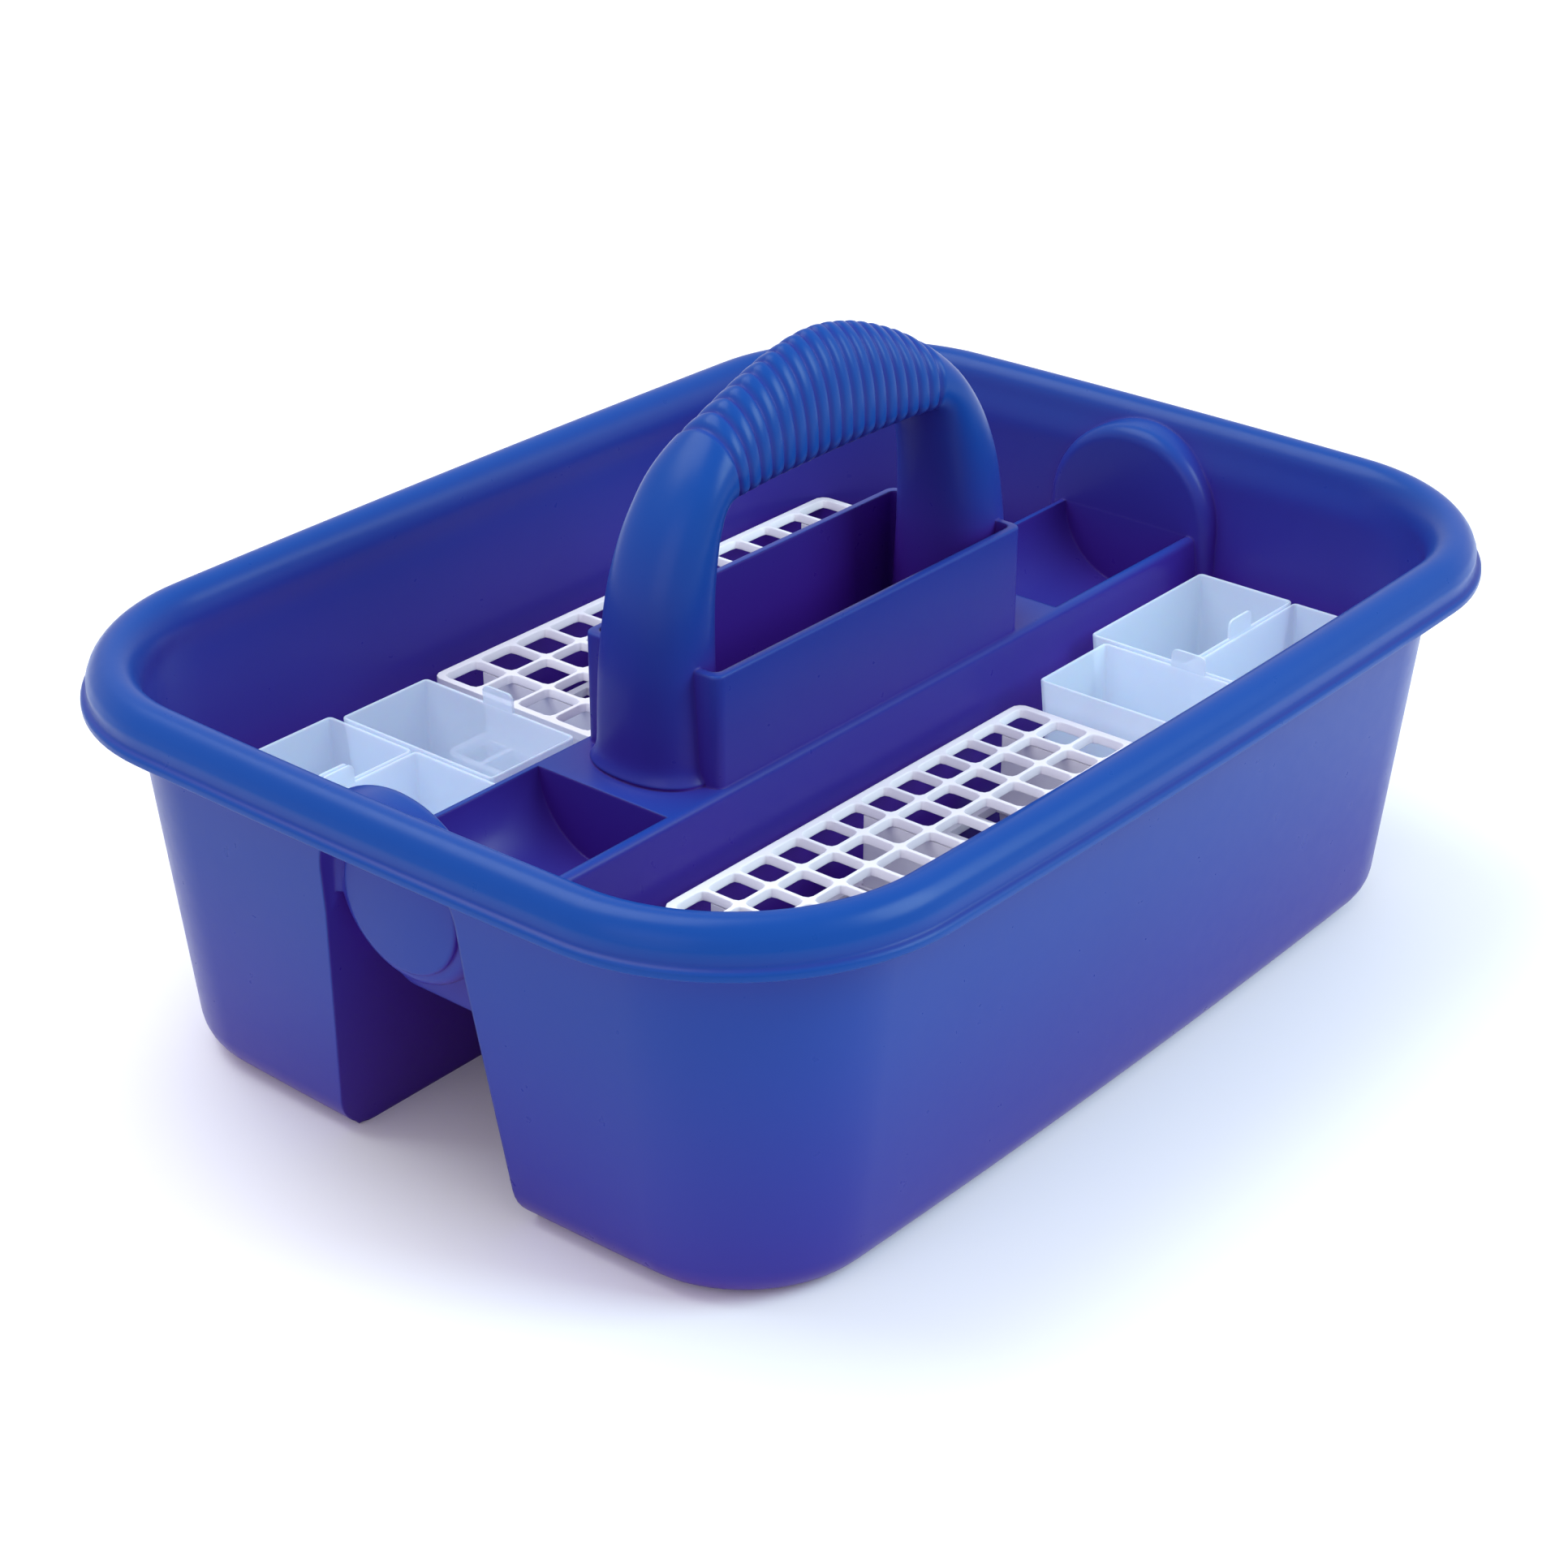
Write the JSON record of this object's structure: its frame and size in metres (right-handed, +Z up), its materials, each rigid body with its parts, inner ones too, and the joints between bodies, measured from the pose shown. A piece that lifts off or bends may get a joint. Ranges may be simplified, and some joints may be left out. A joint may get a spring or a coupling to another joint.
{
  "type": "cleaning caddy",
  "caption": "Carry caddy moulded as one tub with a rolled rim and a ribbed centre handle over a pocket, with end trays, lift-out test-tube racks and small bins.",
  "frame": {"origin": "on the surface the two feet stand on, under the middle of the tub", "axes": "+X along the tub's length and the handle, +Y across its width, +Z up"},
  "size_m": [0.4668, 0.3556, 0.246],
  "materials": {
    "tub_blue": "semi-gloss moulded blue",
    "rack_white": "satin white",
    "bin_clear": "milky, lets light through"
  },
  "bodies": {
    "tub": {"tub": "tub_blue"},
    "near_rack": {"near_rack_upper_grid": "rack_white", "near_rack_lower_grid": "rack_white", "near_rack_support_1": "rack_white", "near_rack_support_2": "rack_white", "near_rack_support_3": "rack_white"},
    "far_rack": {"far_rack_upper_grid": "rack_white", "far_rack_lower_grid": "rack_white", "far_rack_support_1": "rack_white", "far_rack_support_2": "rack_white", "far_rack_support_3": "rack_white"},
    "near_inner_bin": {"near_inner_bin": "bin_clear"},
    "near_outer_bin": {"near_outer_bin": "bin_clear"},
    "near_cross_bin": {"near_cross_bin": "bin_clear"},
    "far_cross_bin": {"far_cross_bin": "bin_clear"},
    "far_inner_bin": {"far_inner_bin": "bin_clear"},
    "far_outer_bin": {"far_outer_bin": "bin_clear"}
  },
  "joints": [
    {"name": "near_rack_lift", "type": "slide", "parent": "tub", "child": "near_rack", "axis": [0, 0, 1], "range_m": [0, 0.16]},
    {"name": "far_rack_lift", "type": "slide", "parent": "tub", "child": "far_rack", "axis": [0, 0, 1], "range_m": [0, 0.16]},
    {"name": "near_inner_bin_lift", "type": "slide", "parent": "tub", "child": "near_inner_bin", "axis": [0, 0, 1], "range_m": [0, 0.16]},
    {"name": "near_outer_bin_lift", "type": "slide", "parent": "tub", "child": "near_outer_bin", "axis": [0, 0, 1], "range_m": [0, 0.16]},
    {"name": "near_cross_bin_lift", "type": "slide", "parent": "tub", "child": "near_cross_bin", "axis": [0, 0, 1], "range_m": [0, 0.16]},
    {"name": "far_cross_bin_lift", "type": "slide", "parent": "tub", "child": "far_cross_bin", "axis": [0, 0, 1], "range_m": [0, 0.16]},
    {"name": "far_inner_bin_lift", "type": "slide", "parent": "tub", "child": "far_inner_bin", "axis": [0, 0, 1], "range_m": [0, 0.16]},
    {"name": "far_outer_bin_lift", "type": "slide", "parent": "tub", "child": "far_outer_bin", "axis": [0, 0, 1], "range_m": [0, 0.16]}
  ]
}
